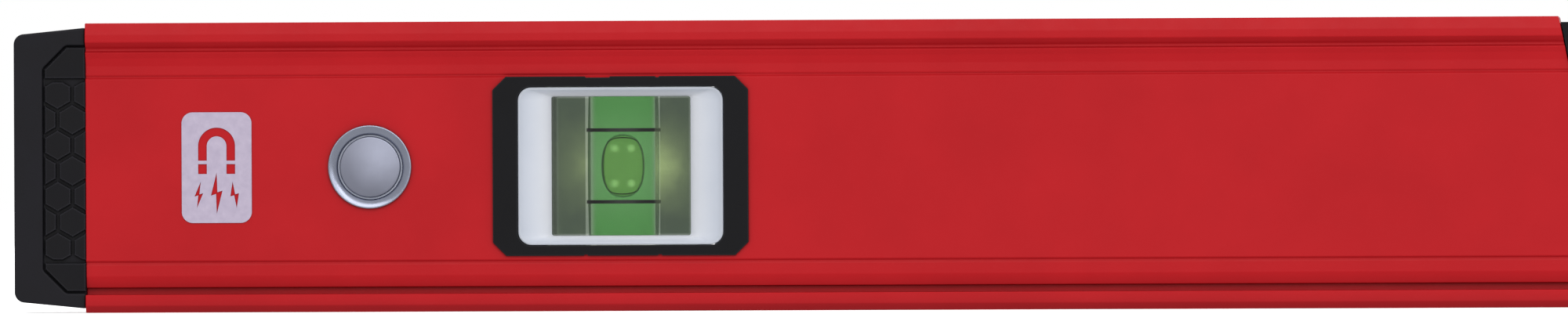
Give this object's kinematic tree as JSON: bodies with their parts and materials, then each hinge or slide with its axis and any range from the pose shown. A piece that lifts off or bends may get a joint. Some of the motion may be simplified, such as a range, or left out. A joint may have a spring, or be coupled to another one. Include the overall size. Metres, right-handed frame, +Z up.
{
  "type": "spirit level",
  "caption": "Red box-section spirit level with soft black end caps, block vials in black frames and round magnets in its front web.",
  "frame": {"origin": "on the measuring face, midway along the level and midway across its thickness", "axes": "+X along the level from the end with the sticker to the other end, +Y from the front web to the back web, +Z up from the measuring face"},
  "size_m": [0.6, 0.022, 0.05],
  "materials": {
    "red_coated_aluminium": "red powder coat, satin",
    "cap_rubber": "black, matt",
    "plug_plastic": "black, hard",
    "label_film": "pale lilac-grey film",
    "magnet_steel": "nickel plated steel",
    "magnet_face": "nickel plated, dull",
    "potting_resin": "dark grey resin",
    "black_plastic": "black, fine grained",
    "white_plastic": "white, satin",
    "vial_acrylic": "clear acrylic with an olive tint",
    "line_black": "black",
    "vial_fluid": "clear green fluid",
    "vial_bubble": "clear"
  },
  "bodies": {
    "level": {"profile": "red_coated_aluminium", "end_cap_bumper_left": "cap_rubber", "end_cap_bumper_right": "cap_rubber", "end_cap_plug_left": "plug_plastic", "end_cap_plug_right": "plug_plastic", "magnet_label_left": "label_film", "magnet_cup_left": "magnet_steel", "magnet_cup_right": "magnet_steel", "magnet_disc_left": "magnet_face", "magnet_disc_right": "magnet_face", "magnet_potting_left": "potting_resin", "magnet_potting_right": "potting_resin", "vial_bezel_front_left": "black_plastic", "vial_bezel_back_left": "black_plastic", "vial_reflector_front_left": "white_plastic", "vial_reflector_back_left": "white_plastic", "vial_bezel_front_right": "black_plastic", "vial_bezel_back_right": "black_plastic", "vial_reflector_front_right": "white_plastic", "vial_reflector_back_right": "white_plastic", "centre_vial_housing": "black_plastic", "centre_vial_retainer": "black_plastic", "centre_vial_reflector_front": "white_plastic", "centre_vial_reflector_back": "white_plastic", "vial_block_left": "vial_acrylic", "vial_plug_left": "vial_acrylic", "vial_lines_left": "line_black", "vial_fluid_left": "vial_fluid", "vial_block_right": "vial_acrylic", "vial_plug_right": "vial_acrylic", "vial_lines_right": "line_black", "vial_fluid_right": "vial_fluid", "vial_block_centre": "vial_acrylic", "vial_plug_centre": "vial_acrylic", "vial_lines_centre": "line_black", "vial_fluid_centre": "vial_fluid"},
    "bubble_left": {"vial_bubble_left": "vial_bubble"},
    "bubble_right": {"vial_bubble_right": "vial_bubble"},
    "bubble_centre": {"vial_bubble_centre": "vial_bubble"}
  },
  "joints": [
    {"name": "bubble_left_slide", "type": "slide", "parent": "level", "child": "bubble_left", "axis": [0, 0, 1], "range_m": [-0.0065, 0.0065], "stiffness_N_per_m": 15, "deforming": ["vial_fluid_left"]},
    {"name": "bubble_right_slide", "type": "slide", "parent": "level", "child": "bubble_right", "axis": [0, 0, 1], "range_m": [-0.0065, 0.0065], "stiffness_N_per_m": 15, "deforming": ["vial_fluid_right"]},
    {"name": "bubble_centre_slide", "type": "slide", "parent": "level", "child": "bubble_centre", "axis": [1, 0, 0], "range_m": [-0.018, 0.018], "stiffness_N_per_m": 15, "deforming": ["vial_fluid_centre"]}
  ]
}
